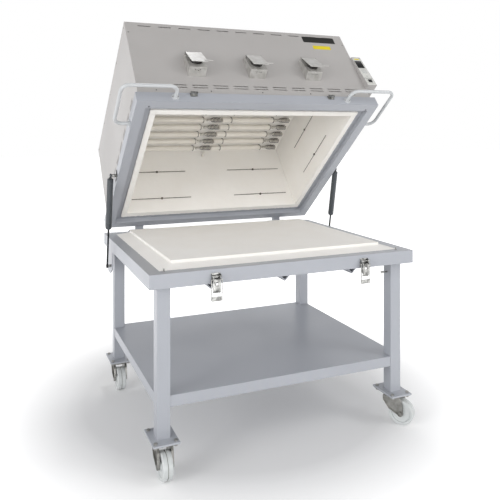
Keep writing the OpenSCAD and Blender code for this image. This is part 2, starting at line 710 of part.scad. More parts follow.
// Bent tube from the front of the frame round the corner to its side
handle_z = 30;
handle_foot_d = handle_d + 20;
handle_foot_t = 4;
handle_front = 193;
handle_side = 198;
handle_x0 = hood_w / 2 - handle_front;
handle_x1 = hood_w / 2 + handle_reach + 2;
handle_y0 = -hood_d - handle_reach;
handle_y1 = -hood_d + handle_side;
module handle() translate([0, 0, handle_z]) {
    translate([handle_x0, 0, 0]) rod_y(handle_y0 + handle_r, -hood_d, handle_d);
    translate([0, handle_y0, 0]) rod_x(handle_x0 + handle_r, handle_x1 - handle_r, handle_d);
    translate([handle_x1, 0, 0]) rod_y(handle_y0 + handle_r, handle_y1 - handle_r, handle_d);
    translate([0, handle_y1, 0]) rod_x(hood_w / 2, handle_x1 - handle_r, handle_d);
    translate([handle_x0 + handle_r, handle_y0 + handle_r, 0]) mirror([0, 1, 0]) quarter(90);
    translate([handle_x1 - handle_r, handle_y0 + handle_r, 0]) mirror([0, 1, 0]) quarter(0);
    translate([handle_x1 - handle_r, handle_y1 - handle_r, 0]) quarter(0);
    // round feet
    translate([handle_x0, 0, 0]) rod_y(-hood_d - handle_foot_t, -hood_d, handle_foot_d);
    translate([0, handle_y1, 0]) rod_x(hood_w / 2, hood_w / 2 + handle_foot_t, handle_foot_d);
}
module quarter(a) rotate(a) rotate_extrude(angle = 90) translate([handle_r, 0]) circle(d = handle_d);
module right_handle() color("#c2c5c8") at_hood() handle();
module left_handle() color("#c2c5c8") at_hood() mirror([1, 0, 0]) handle();

// Catches on the front of the hood's frame
catch_z = 44;
module latch_catches() color(steel) at_hood() both() translate([latch_x, -hood_d, catch_z])
    rotate([90, 0, 90]) translate([0, 0, -latch_w / 2 + 4]) linear_extrude(latch_w - 8)
    polygon([[0, -8], [0, 14], [-3, 14], [-3, 3], [-14, 3], [-14, 12], [-17, 12], [-17, 0], [-3, 0], [-3, -8]]);

// Flue boxes on the front, with a round outlet under each flap
outlet_d = 66;
flue_z = 194;
flue_hole_up = 68;
flue_hole_d = 56;
flue_top = 330;
flap_y = 38;
flap_z = 327;
module flue_boxes() color("#c9c7c3") at_hood() for (i = [-1, 0, 1])
    translate([i * flue_pitch, casing_y0, 0]) {
        difference() {
            rotate([90, 0, 90]) translate([0, 0, -flue_w / 2]) linear_extrude(flue_w)
                polygon([[0, flue_z], [-52, flue_z + 17], [-31, flap_z - 8], [-31, flue_top], [0, flue_top]]);
            rotate([90, 0, 90]) translate([0, 0, -flue_w / 2 + 2]) linear_extrude(flue_w - 4)
                polygon([[eps, flue_z + 2], [-50, flue_z + 18.7], [-29, flap_z - 10],
                         [-29, flue_top - 2], [eps, flue_top - 2]]);
            // round outlet in the sloping front, under the flap
            translate([0, -41.5, (flue_z + 17 + flap_z - 8) / 2]) rotate([79, 0, 0])
                translate([0, 0, -12]) cylinder(h = 30, d = outlet_d);
            for (x = [-14, 4, 14]) translate([x, -30 - abs(x) / 2, flue_z - 5]) rod_z(0, 30, 6);
        }
        // ears and pin for the flap
        for (s = [-1, 1]) translate([s * (flue_w / 2 - 1) - 1, 0, 0]) rotate([90, 0, 90]) linear_extrude(2) {
            polygon([[-20, flue_top - 1], [-20, flap_z - 14], [-flap_y, flap_z - 6], [-flap_y, flap_z + 6]]);
            translate([-flap_y, flap_z]) circle(r = 6);
        }
        translate([0, -flap_y, flap_z]) rod_x(-flue_w / 2, flue_w / 2, 4);
    }

// Sheet flap with a rolled top edge round the pin, a hem and a short rod to turn it
module flue_flap(i) color("#dedcd8") at_hood()
    translate([i * flue_pitch, casing_y0 - flap_y, flap_z]) rotate([-flap_lean, 0, 0]) mirror([0, 0, 1]) {
        difference() {
            union() {
                rod_x(-flap_w / 2, flap_w / 2, 9);
                block([-flap_w / 2, -4.5, 0], [flap_w / 2, -2.5, flap_l]);
                block([-flap_w / 2, -4.5, flap_l - 8], [flap_w / 2, -1, flap_l]);
            }
            rod_x(-flap_w, flap_w, 4 + 2 * run_gap);
        }
        translate([0, -4.5 - 2, flap_l - 8]) rod_x(flap_w / 2 - 18, flap_w / 2 + 28, 5);
    }

// Control box on the right side of the casing; its front leans back with height
control_drop = 194;
control_z = hood_h - control_drop - control_h;
gland_reach = 100;
control_y = casing_y0 - 32;
control_lean = 5;
control_x = casing_x + control_w / 2;
module control_outline() polygon([
    [control_y, control_z],
    [control_y + tan(control_lean) * control_h, control_z + control_h],
    [control_y + control_d, control_z + control_h], [control_y + control_d, control_z]]);
module control_housing() color(casing_paint) at_hood() difference() {
    translate([casing_x, 0, 0]) rotate([90, 0, 90]) linear_extrude(control_w) control_outline();
    // hollow, open at the front
    block([casing_x + 2, control_y - 30, control_z + 2],
        [casing_x + control_w - 2, control_y + control_d - 2, control_z + control_h - 2]);
    translate([control_x, 0, gland_z]) rod_y(control_y + gland_reach, 0, gland_d + 2 * hole_gap);
}
// Local frame of the control panel: X across, Z up along the panel, -Y to the front
panel_l = control_h / cos(control_lean);
module at_panel() translate([control_x, control_y, control_z]) rotate([-control_lean, 0, 0]) children();

rocker_z = 34;
display = [[-18, -2, 152], [18, 0, 216]];
module control_panel() at_hood() at_panel() {
    color("#d5d5d0") difference() {
        block([-control_w / 2 + 2, 0, 2.5], [control_w / 2 - 2, 3, panel_l - 2.5]);
        block([-16, -1, rocker_z - 15], [16, 4, rocker_z + 15]);
    }
    // display and its frame
    color("#1d1f22") block(display[0], display[1]);
    // bezel of the switch
    color("#1d1f22") difference() {
        block([-18, -3, rocker_z - 17], [18, 0, rocker_z + 17]);
        block([-13, -4, rocker_z - 12], [13, 1, rocker_z + 12]);
    }
}

// Rocker on its cross pin
module rocker_switch() color("#151618") at_hood() at_panel() translate([0, 2, rocker_z])
    rotate([9, 0, 0]) {
        translate([-12, 0, 0]) rotate([90, 0, 90]) linear_extrude(24)
            polygon([[0, -9], [6, -5], [6, 5], [0, 9], [-7, 11], [-4.5, 0], [-7, -11]]);
        rod_x(-12.5, 12.5, 4);
    }

// Strut studs on the sides of the hood's frame
stud_plate = [5, 52, 40];
stud_d = 16;
module strut_upper_studs() color(steel) at_hood() both() translate([0, -strut_up_y, strut_up_z]) {
    translate([hood_w / 2, -stud_plate[1] / 2, -stud_plate[2] / 2]) cube(stud_plate);
    rod_x(hood_w / 2 + stud_plate[0] - 1, strut_x - eye_t / 2 - run_gap, stud_d);
}

// Struts stand in a plane beside the studs; along = up the strut from the lower pin
module at_strut(s) at_table() scale_x(s) translate([strut_x, low_pin[0], low_pin[1]])
    rotate([strut_lean, 0, 0]) children();
module eye(bore) difference() {
    rod_x(-eye_t / 2, eye_t / 2, 2 * eye_r);
    rod_x(-eye_t, eye_t, bore);
}
cylinder_z1 = strut_l - eye_r - 6;
cylinder_z0 = cylinder_z1 - cylinder_l;
module strut_cylinder(s) color(strut_black) at_strut(s) {
    translate([0, 0, strut_l]) eye(strut_pin_d + 2 * hole_gap);
    translate([0, 0, strut_l - eye_r - 8]) cylinder(h = 10, d = 12);
    difference() {
        union() {
            translate([0, 0, cylinder_z0 + 6]) cylinder(h = cylinder_l - 9, d = cylinder_d);
            translate([0, 0, cylinder_z1 - 3]) cylinder(h = 3, d1 = cylinder_d, d2 = cylinder_d - 6, $fn = 48);
            translate([0, 0, cylinder_z0]) cylinder(h = 6.5, d = cylinder_d - 5);
        }
        translate([0, 0, cylinder_z0 - eps]) cylinder(h = cylinder_l - 9, d = rod_d + 2 * run_gap);
    }
}
module strut_rod(s) color(zinc) at_strut(s) {
    difference() {
        union() {
            rod_x(-eye_t / 2, eye_t / 2, 2 * eye_r);
            translate([0, 0, collar_d / 2 + run_gap]) cylinder(h = cylinder_z0 + 30, d = rod_d);
        }
        rod_x(-eye_t, eye_t, strut_pin_d + 2 * hole_gap);
    }
}

// Thermocouple: sheath through the rear lining, and its head behind the casing
probe_d = 10;
probe_drop = 47;
probe_z = ceiling_z - probe_drop;
module thermocouple() at_hood() translate([0, 0, probe_z]) {
    color(white_fibre) rod_y(chamber_y1 - 45, casing_y1 + eps, probe_d);
    color(zinc) {
        rod_y(casing_y1, casing_y1 + 6, 34);
        rod_y(casing_y1 + 5, casing_y1 + 34, 46);
    }
}

// Gland for the supply cable, in the rear of the control box
gland_d = 25;
gland_bore = 16;
gland_z = 190;
module cable_gland() color("#2b2d30") at_hood() translate([control_x, control_y + control_d, gland_z])
    difference() {
        union() {
            rod_y(-12, 22, gland_d);
            rotate([-90, 0, 0]) cylinder(h = 8, d = 36, $fn = 6);
            translate([0, -8, 0]) rotate([-90, 0, 0]) cylinder(h = 6, d = 36, $fn = 6);
        }
        rod_y(-20, 40, gland_bore);
    }

// Latch lever: a channel that hangs from the body's pin and turns outward
module latch_lever(s) color(steel) at_table() translate([s * latch_x, lever_y, lever_z]) difference() {
    union() {
        for (t = [-1, 1]) translate([t * (latch_w / 2 - 5.25) - 1.25, 0, 0]) rotate([90, 0, 90]) linear_extrude(2.5) {
            circle(r = 6);
            polygon([[-6, 0], [6, 0], [1, -lever_l + 12], [-8, -lever_l + 4], [-10, -14]]);
            translate([-6, -14]) circle(r = 5.5);
        }
        block([-latch_w / 2 + 4, -10, -lever_l + 2], [latch_w / 2 - 4, -7.5, -16]);
        translate([0, -8.8, -lever_l + 3]) rotate([28, 0, 0])
            block([-latch_w / 2 + 4, -1.2, -12], [latch_w / 2 - 4, 1.2, 0]);
    }
    rod_x(-latch_w, latch_w, 5 + 2 * hole_gap);
    translate([0, bail_y - lever_y, bail_z - lever_z]) rod_x(-latch_w, latch_w, bail_wire + 2 * hole_gap);
    block([-5, -14, -40], [5, -6, -26]);
}

// Latch bail: a wire loop on the lever that reaches over the catch
module latch_bail(s) color(steel) at_table() translate([s * latch_x, bail_y, bail_z]) {
    w = latch_w / 2 + 3;
    rod_x(-w, w, bail_wire);
    for (t = [-1, 1]) translate([t * w, 0, 0]) {
        rod_z(-bail_l, 0, bail_wire);
        sphere(d = bail_wire);
    }
    translate([0, 0, -bail_l]) rod_x(-w, w, bail_wire);
    block([-w, -1, -bail_l - 2], [w, 1, -bail_l + 18]);
}

table_frame();
deck_plate();
legs();
cross_members();
shelf();
castor_plates();
bed_boards();
bed_rim();
bed_slab();
locating_pegs();
strut_brackets();
strut_lower_pins();
latch_bases();
leg_stud();
table_hinge_leaves();
hinge_pins();
castor_fork(leg_spots[0], 0);  // castor_fork_fl
castor_fork(leg_spots[1], turn_fr);  // castor_fork_fr
castor_fork(leg_spots[2], 0);  // castor_fork_rl
castor_fork(leg_spots[3], 0);  // castor_fork_rr
castor_wheel(leg_spots[0], 0);  // castor_wheel_fl
castor_wheel(leg_spots[1], turn_fr);  // castor_wheel_fr
castor_wheel(leg_spots[2], 0);  // castor_wheel_rl
castor_wheel(leg_spots[3], 0);  // castor_wheel_rr
hood_frame();
front_panel();
left_panel();
right_panel();
rear_panel();
roof_panel();
front_lining();
rear_lining();
side_linings();
roof_lining();
heating_tubes();
heating_coils();
element_hooks();
lining_anchors();
left_handle();
right_handle();
latch_catches();
flue_boxes();
flue_flap(-1);  // left_flue_flap
flue_flap(0);  // centre_flue_flap
flue_flap(1);  // right_flue_flap
control_housing();
control_panel();
rocker_switch();
hood_hinge_leaves();
strut_upper_studs();
thermocouple();
cable_gland();
strut_cylinder(-1);  // left_strut_cylinder
strut_cylinder(1);  // right_strut_cylinder
strut_rod(-1);  // left_strut_rod
strut_rod(1);  // right_strut_rod
latch_lever(-1);  // left_latch_lever
latch_lever(1);  // right_latch_lever
latch_bail(-1);  // left_latch_bail
latch_bail(1);  // right_latch_bail
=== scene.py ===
"""Looks of the bead annealing kiln: enamelled table and hood, fibre chamber, heating rows and fittings."""
import json
import math

import bmesh
import bpy
import numpy as np
from bpy.props import FloatProperty, IntProperty, PointerProperty, StringProperty
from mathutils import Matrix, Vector


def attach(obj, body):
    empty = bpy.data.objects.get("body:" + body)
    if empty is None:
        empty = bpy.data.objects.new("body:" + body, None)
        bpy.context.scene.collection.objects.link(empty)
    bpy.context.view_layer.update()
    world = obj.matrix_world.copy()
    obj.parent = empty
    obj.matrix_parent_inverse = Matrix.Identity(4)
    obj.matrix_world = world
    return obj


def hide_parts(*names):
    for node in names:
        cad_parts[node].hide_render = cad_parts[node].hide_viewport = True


bl_info = {
    "name": "Bead Annealing Kiln",
    "version": (1, 0, 0),
    "blender": (4, 5, 0),
    "location": "View3D > Sidebar > Kiln",
    "description": "Dresses the packed kiln with its finishes, heating wire, plates and fasteners",
    "category": "Object",
}

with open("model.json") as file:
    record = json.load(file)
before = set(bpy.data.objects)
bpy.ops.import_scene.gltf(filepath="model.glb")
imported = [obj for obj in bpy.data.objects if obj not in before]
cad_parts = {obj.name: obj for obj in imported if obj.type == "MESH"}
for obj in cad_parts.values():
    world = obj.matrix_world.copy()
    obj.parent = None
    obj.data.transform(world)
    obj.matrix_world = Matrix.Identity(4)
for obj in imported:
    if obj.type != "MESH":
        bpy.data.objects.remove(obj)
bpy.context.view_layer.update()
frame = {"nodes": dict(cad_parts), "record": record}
MM = 0.001
JOINTS = {j["name"]: j for j in frame["record"]["behaviour"]["joints"]}
HINGE = np.array(JOINTS["hood_hinge"]["pos_m"])
OPEN = math.radians(40)                # how far the hood is open at rest

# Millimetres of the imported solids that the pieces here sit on. In the hood, y and z run from the rear
# lower edge of its rim frame, and on the table from the middle of the floor under it.
HINGE_IN_HOOD = (41, -14)              # y and z of the hinge axis
HINGE_BEHIND_TABLE_MIDDLE = 609
PANEL_FOOT = (694, -1152, 140)         # lower edge of the control panel, in the hood
PANEL_LEAN = math.radians(5)
CASING_SIDE, CASING_FRONT, CASING_REAR = 664, -1120, -16
HANDLE_FRONT_X, HANDLE_SIDE_Y, HANDLE_Z = 487, -938, 30
HANDLE_FOOT_SIDE, HANDLE_FOOT_FRONT = 684, -1140
LATCH_X = 390
LEG_X, LEG_FRONT, LEG_REAR = 615, -495, 510
LEG_HALF = 30                          # half of the legs' square tube


# Places

def from_hood(points):
    """Hood millimetres to the row frame: shift to the hinge axis, then turn back about X by OPEN."""
    p = np.asarray(points, float).reshape(-1, 3)
    y, z = p[:, 1] - HINGE_IN_HOOD[0], p[:, 2] - HINGE_IN_HOOD[1]
    c, s = math.cos(OPEN), math.sin(OPEN)
    return np.stack([p[:, 0], y * c + z * s, z * c - y * s], 1) * MM + [0, HINGE[1], HINGE[2]]


def from_table(points):
    """Table millimetres, from the table's middle on the floor, to the row frame."""
    middle = HINGE[1] - HINGE_BEHIND_TABLE_MIDDLE * MM
    return np.asarray(points, float).reshape(-1, 3) * MM + [0, middle, 0]


def from_panel(points):
    """Control panel millimetres to the row frame: lean back at the foot, then on as in the hood."""
    p = np.asarray(points, float).reshape(-1, 3)
    x, y, z = PANEL_FOOT
    c, s = math.cos(PANEL_LEAN), math.sin(PANEL_LEAN)
    leant = [x + p[:, 0], y + p[:, 1] * c + p[:, 2] * s, z + p[:, 2] * c - p[:, 1] * s]
    return from_hood(np.stack(leant, 1))


# Surfaces

def quads(rows, columns, around=False):
    """Faces of a grid: each takes a point, its right neighbour and the two above. With around, the last
    column joins the first."""
    r, c = np.meshgrid(np.arange(rows - 1), np.arange(columns if around else columns - 1), indexing="ij")
    n = (c + 1) % columns
    corners = [r * columns + c, r * columns + n, (r + 1) * columns + n, (r + 1) * columns + c]
    return np.stack(corners, -1).reshape(-1, 4)


def revolved(profile, sides):
    """Radius and height pairs turned about Z: x = r cos a, y = r sin a, z = height."""
    profile = np.asarray(profile, float)
    a = np.arange(sides) * 2 * math.pi / sides
    r, z = profile[:, :1], profile[:, 1:]
    points = np.stack([r * np.cos(a), r * np.sin(a), z + 0 * a], -1).reshape(-1, 3)
    return points, quads(len(profile), sides, True)


def pressed_plate(width, height, corner, steps, sides=8):
    """Rounded rectangle carried through (inset, rise) steps: each corner is a quarter turn whose radius is
    corner less inset. The lid is a strip of quads between the two halves of the last ring."""
    a = np.linspace(0, math.pi / 2, sides)
    turn = np.concatenate([a + k * math.pi / 2 for k in range(4)])
    sx = np.repeat([1, -1, -1, 1], sides)
    sy = np.repeat([1, 1, -1, -1], sides)
    steps = np.asarray(steps, float)
    inset, rise = steps[:, :1], steps[:, 1:]
    r = np.maximum(corner - inset, 0.01)
    x = sx * (width / 2 - inset - r) + r * np.cos(turn)
    y = sy * (height / 2 - inset - r) + r * np.sin(turn)
    points = np.stack([x, y, rise + 0 * x], -1).reshape(-1, 3)
    ring = 4 * sides
    first = len(points) - ring
    i = np.arange(ring // 2 - 1)
    lid = np.stack([first + i, first + i + 1, first + ring - 2 - i, first + ring - 1 - i], -1)
    return points, np.concatenate([quads(len(steps), ring, True), lid])


def tube(path, radius, sides, up=(0, 0, 1)):
    """Circle carried along a path: side = tangent x up, lift = side x tangent, and
    point = path + r (side cos a + lift sin a)."""
    path = np.asarray(path, float)
    tangent = np.gradient(path, axis=0)
    tangent /= np.linalg.norm(tangent, axis=1, keepdims=True)
    side = np.cross(tangent, up)
    side /= np.linalg.norm(side, axis=1, keepdims=True)
    lift = np.cross(side, tangent)
    a = np.arange(sides) * 2 * math.pi / sides
    radius = np.broadcast_to(radius, len(path))[:, None, None]
    ring = side[:, None] * np.cos(a)[:, None] + lift[:, None] * np.sin(a)[:, None]
    points = path[:, None] + radius * ring
    return points.reshape(-1, 3), quads(len(path), sides, True)


def repeated(shape, places, turns=None):
    """Copies of a shape at the places, each first turned by its own 3 x 3 matrix. The faces of each copy
    count on by the number of the shape's points."""
    points, faces = shape
    places = np.asarray(places, float).reshape(-1, 3)
    turns = np.broadcast_to(np.eye(3) if turns is None else turns, (len(places), 3, 3))
    all_points = np.einsum("nij,pj->npi", turns, points) + places[:, None]
    all_faces = faces[None] + (np.arange(len(places)) * len(points))[:, None, None]
    return all_points.reshape(-1, 3), all_faces.reshape(-1, 4)


def joined(*shapes):
    """Several shapes as one list of points and one of faces."""
    start = np.cumsum([0] + [len(p) for p, _ in shapes[:-1]])
    points = np.concatenate([p for p, _ in shapes])
    return points, np.concatenate([f + s for (_, f), s in zip(shapes, start)])


def facing(direction, up=(0, 0, 1)):
    """Matrix that turns local Z to a direction. Its columns are up x direction, direction x that, and it."""
    z = np.asarray(direction, float) / np.linalg.norm(direction)
    x = np.cross(up, z)
    x /= np.linalg.norm(x)
    return np.stack([x, np.cross(z, x), z], 1)


# turns that set a shape on the front, rear, left or right of the kiln
FRONT, REAR, LEFT, RIGHT = (facing(d) for d in ((0, -1, 0), (0, 1, 0), (-1, 0, 0), (1, 0, 0)))


def piece(name, shape, place, finish, body):
    """Puts a shape in millimetres into the scene through its place function, with its finish, on its body.
    """
    points, faces = shape
    mesh = bpy.data.meshes.new(name)
    mesh.from_pydata(place(points).tolist(), [], faces.tolist())
    mesh.validate()
    obj = bpy.data.objects.new(name, mesh)
    bpy.context.collection.objects.link(obj)
    mesh.materials.append(bpy.data.materials[finish])
    weld_and_face(mesh)
    mesh.shade_smooth()
    mesh.set_sharp_from_angle(angle=math.radians(40))
    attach(obj, body)
    return obj


def weld_and_face(mesh):
    """Merges doubled points, fills open ends and turns all faces outwards."""
    bm = bmesh.new()
    bm.from_mesh(mesh)
    bmesh.ops.remove_doubles(bm, verts=bm.verts, dist=2e-6)
    holes = [e for e in bm.edges if e.is_boundary]
    if holes:
        bmesh.ops.holes_fill(bm, edges=holes, sides=0)
    bmesh.ops.recalc_face_normals(bm, faces=bm.faces)
    bm.to_mesh(mesh)
    bm.free()


# Finishes

def linear(value):
    """sRGB hex colour to linear red, green, blue and full alpha."""
    c = np.array([int(value[i:i + 2], 16) for i in (1, 3, 5)]) / 255
    c = np.where(c <= 0.04045, c / 12.92, ((c + 0.055) / 1.055) ** 2.4)
    return (*c.tolist(), 1.0)


def add(tree, kind, settings=None, links=None):
    """Adds a node. settings give properties and input values, links join inputs to (node, output)."""
    node = tree.nodes.new(kind)
    for key, value in (settings or {}).items():
        if isinstance(key, str) and hasattr(node, key):
            setattr(node, key, value)
        else:
            node.inputs[key].default_value = value
    for key, (source, output) in (links or {}).items():
        tree.links.new(source.outputs[output], node.inputs[key])
    return node


def finish(name, **sockets):
    """A material whose Principled shader has these sockets. Returns its tree, its shader and a place to
    link patterns to, which is the Object coordinates."""
    material = bpy.data.materials.new(name)
    material.use_nodes = True
    tree = material.node_tree
    shader = tree.nodes["Principled BSDF"]
    for key, value in sockets.items():
        shader.inputs[key.replace("_", " ")].default_value = value
    return tree, shader, (add(tree, "ShaderNodeTexCoord"), "Object")


def tinted(tree, shader, factor, low, high):
    """Joins the shader's colour to a mix of two hex colours by a factor (node, output)."""
    mix = add(tree, "ShaderNodeMix", {"data_type": "RGBA", 6: linear(low), 7: linear(high)}, {0: factor})
    tree.links.new(mix.outputs[2], shader.inputs["Base Color"])


def glossed(tree, shader, factor, reach, rough):
    """Joins the shader's roughness to a range of values, as a factor (node, output) runs over reach."""
    spread = add(tree, "ShaderNodeMapRange", {"From Min": reach[0], "From Max": reach[1],
                                              "To Min": rough[0], "To Max": rough[1]}, {"Value": factor})
    tree.links.new(spread.outputs[0], shader.inputs["Roughness"])


def grained(tree, shader, height, strength, depth, fold):
    """Joins the shader's normal to a bump by a height (node, output), over folds with round edges."""
    edge = add(tree, "ShaderNodeBevel", {"samples": 4, "Radius": fold})
    bump = add(tree, "ShaderNodeBump", {"Strength": strength, "Distance": depth},
               {"Height": height, "Normal": (edge, "Normal")})
    tree.links.new(bump.outputs[0], shader.inputs["Normal"])


def enamel(name, low, high, rough, grain=1.6, edge=1.0):
    """Stoved enamel on steel: an orange peel of about 1.6 mm that softens the gloss, a faint drift of tone
    over 300 mm, and rounded folds, so that edges catch a thin light line."""
    tree, shader, where = finish(name, Roughness=rough, Specular_IOR_Level=0.5, Coat_Weight=0.12,
                                 Coat_Roughness=0.25)
    drift = add(tree, "ShaderNodeTexNoise", {"Scale": 1 / 0.3, "Detail": 3.0}, {"Vector": where})
    tinted(tree, shader, (drift, "Fac"), low, high)
    peel = add(tree, "ShaderNodeTexNoise", {"Scale": 1 / (grain * MM), "Detail": 1.0}, {"Vector": where})
    glossed(tree, shader, (drift, "Fac"), (0.35, 0.65), (rough - 0.05, rough + 0.07))
    grained(tree, shader, (peel, "Fac"), 0.06, 0.0004, edge * MM)


def rolled_steel(name, low, high, rough, metallic=1.0, patches=30):
    """Bare or zinc plated sheet: the rolls leave a grain about 0.6 mm wide and some 8 mm long, and
    handling leaves patches, most often of 30 mm, where the tone changes."""
    tree, shader, where = finish(name, Metallic=metallic, Roughness=rough)
    stretch = add(tree, "ShaderNodeMapping", {"Scale": (1, 1, 14)}, {"Vector": where})
    grain = add(tree, "ShaderNodeTexNoise", {"Scale": 1 / 0.008, "Detail": 4.0},
                {"Vector": (stretch, "Vector")})
    patch = add(tree, "ShaderNodeTexNoise", {"Scale": 1000 / patches, "Detail": 2.0}, {"Vector": where})
    spread = add(tree, "ShaderNodeMapRange", {"From Min": 0.35, "From Max": 0.65}, {"Value": (patch, "Fac")})
    tinted(tree, shader, (spread, "Result"), low, high)
    glossed(tree, shader, (grain, "Fac"), (0.3, 0.7), (rough - 0.08, rough + 0.1))
    grained(tree, shader, (grain, "Fac"), 0.08, 0.0002, 0.5 * MM)


def fibre(name, low, high, depth=0.7):
    """Vacuum formed ceramic fibre: chalky, with strands of about 2 mm, pits of 6 mm and a slow swell of 45
    mm where the wet board settled on its former."""
    tree, shader, where = finish(name, Roughness=0.95, Specular_IOR_Level=0.2, Sheen_Weight=0.25,
                                 Sheen_Roughness=0.6)
    strands = add(tree, "ShaderNodeTexNoise", {"Scale": 1 / 0.002, "Detail": 5.0, "Distortion": 0.8},
                  {"Vector": where})
    swell = add(tree, "ShaderNodeTexNoise", {"Scale": 1 / 0.045, "Detail": 2.0}, {"Vector": where})
    pits = add(tree, "ShaderNodeTexVoronoi", {"Scale": 1 / 0.006}, {"Vector": where})
    deep = add(tree, "ShaderNodeMapRange", {"From Min": 0.0, "From Max": 0.22},
               {"Value": (pits, "Distance")})
    cloud = add(tree, "ShaderNodeTexNoise", {"Scale": 1 / 0.16, "Detail": 4.0}, {"Vector": where})
    tinted(tree, shader, (cloud, "Fac"), low, high)
    normal = (add(tree, "ShaderNodeBevel", {"samples": 6, "Radius": 0.004}), "Normal")
    for strength, distance, height in ((0.35, 0.004, (swell, "Fac")),
                                       (0.2 * depth, 0.0008, (deep, "Result")),
                                       (0.5 * depth, 0.0008, (strands, "Fac"))):
        normal = (add(tree, "ShaderNodeBump", {"Strength": strength, "Distance": distance},
                      {"Height": height, "Normal": normal}), "Normal")
    tree.links.new(normal[0].outputs[0], shader.inputs["Normal"])


def moulded(name, low, high, rough, grain=0.5):
    """Injection moulded plastic: a spark eroded grain of about half a millimetre, and a drift of tone."""
    tree, shader, where = finish(name, Roughness=rough, IOR=1.5)
    drift = add(tree, "ShaderNodeTexNoise", {"Scale": 1 / 0.04, "Detail": 2.0}, {"Vector": where})
    tinted(tree, shader, (drift, "Fac"), low, high)
    spark = add(tree, "ShaderNodeTexNoise", {"Scale": 1000 / grain, "Detail": 1.0}, {"Vector": where})
    grained(tree, shader, (spark, "Fac"), 0.1, 0.0002, 0.0006)


def fired_ceramic(name, low, high):
    """Extruded support tube: draw lines along its length every 3 mm round it, and a matt fired skin."""
    tree, shader, where = finish(name, Roughness=0.6, IOR=1.55)
    stretch = add(tree, "ShaderNodeMapping", {"Scale": (0.05, 1, 1)}, {"Vector": where})
    lines = add(tree, "ShaderNodeTexNoise", {"Scale": 1 / 0.003, "Detail": 2.0},
                {"Vector": (stretch, "Vector")})
    cloud = add(tree, "ShaderNodeTexNoise", {"Scale": 1 / 0.07, "Detail": 3.0}, {"Vector": where})
    tinted(tree, shader, (cloud, "Fac"), low, high)
    bump = add(tree, "ShaderNodeBump", {"Strength": 0.2, "Distance": 0.0004}, {"Height": (lines, "Fac")})
    tree.links.new(bump.outputs[0], shader.inputs["Normal"])


def painted_foot(name, paint, zinc, worn_zinc):
    """Castor plate bolted under a painted foot plate: paint between 159 and 167 mm above the floor, plated
    steel on the plate, race, bolts and nuts, in patches of 30 mm."""
    tree, shader, where = finish(name, Roughness=0.38)
    height = add(tree, "ShaderNodeSeparateXYZ", {}, {"Vector": where})
    over = add(tree, "ShaderNodeMath", {"operation": "GREATER_THAN", 1: 0.1589}, {0: (height, "Z")})
    under = add(tree, "ShaderNodeMath", {"operation": "LESS_THAN", 1: 0.1672}, {0: (height, "Z")})
    painted = add(tree, "ShaderNodeMath", {"operation": "MULTIPLY"}, {0: (over, 0), 1: (under, 0)})
    patch = add(tree, "ShaderNodeTexNoise", {"Scale": 1 / 0.03, "Detail": 3.0}, {"Vector": where})
    steel = add(tree, "ShaderNodeMix", {"data_type": "RGBA", 6: linear(zinc), 7: linear(worn_zinc)},
                {0: (patch, "Fac")})
    coat = add(tree, "ShaderNodeMix", {"data_type": "RGBA", 7: linear(paint)},
               {0: (painted, 0), 6: (steel, 2)})
    tree.links.new(coat.outputs[2], shader.inputs["Base Color"])
    bare = add(tree, "ShaderNodeMath", {"operation": "SUBTRACT", 0: 0.85}, {1: (painted, 0)})
    tree.links.new(bare.outputs[0], shader.inputs["Metallic"])
    grained(tree, shader, (patch, "Fac"), 0.08, 0.0003, 1 * MM)


# the finish of each material slot, and of the nodes that look other than their slot
SLOT_FINISH = {
    "frame_paint": "blue_grey_stoved_enamel", "casing_paint": "silver_grey_casing_enamel",
    "zinc_plate": "zinc_plated_castor_steel", "bright_steel": "bright_zinc_steel",
    "lining_fibre": "vacuum_formed_lining_fibre", "bed_fibre": "white_bed_fibre",
    # the flue boxes' sheet is a tone darker than the flaps' as painted shade
    "handle_steel": "light_grey_handle_enamel", "flue_steel": "galvanised_flue_sheet",
    "flap_steel": "pale_galvanised_flap_sheet", "heating_wire": "oxidised_heating_wire",
    "tube_ceramic": "fired_ceramic_tube", "control_plastic": "light_grey_panel_film",
    "switch_plastic": "black_switch_plastic", "gland_plastic": "black_gland_polyamide",
    "strut_paint": "slate_strut_enamel", "rod_steel": "nitrided_piston_rod",
    "wheel_nylon": "white_cast_polyamide",
}
NODE_FINISH = {
    "castor_plates": "painted_foot_on_zinc_plate", "element_hooks": "heat_stained_hook_wire",
    "lining_anchors": "heat_stained_hook_wire", "thermocouple": "fired_ceramic_tube",
}


def hex_colour(name, description, default):
    """Property for an sRGB hex colour."""
    return StringProperty(name=name, description=description + ", as an sRGB hex value", default=default)


def millimetres(name, description, default, lowest, highest):
    """Property for a length, given here in millimetres."""
    return FloatProperty(name=name, description=description, default=default * MM, min=lowest * MM,
                         max=highest * MM, precision=4, subtype="DISTANCE", unit="LENGTH")


class KilnFinishes(bpy.types.PropertyGroup):
    """Colours of the kiln's finishes."""
    enamel_low: hex_colour("Frame enamel, darker", "Table and hood frame", "#a6a9b0")
    enamel_high: hex_colour("Frame enamel, lighter", "Table and hood frame", "#b1b4ba")
    casing_low: hex_colour("Casing, darker", "Sheet casing of the hood", "#adaaa7")
    casing_high: hex_colour("Casing, lighter", "Sheet casing of the hood", "#b8b5b3")
    fibre_low: hex_colour("Lining fibre, darker", "Chamber walls and roof", "#f6f2eb")
    fibre_high: hex_colour("Lining fibre, lighter", "Chamber walls and roof", "#fdfbf7")
    bed_low: hex_colour("Bed fibre, darker", "Bed on the table", "#f2efea")
    bed_high: hex_colour("Bed fibre, lighter", "Bed on the table", "#faf8f4")
    plate_black: hex_colour("Black plate", "Blank plate on the casing", "#151513")
    plate_yellow: hex_colour("Yellow plate", "Blank strips on the casing and panel", "#e6d31c")


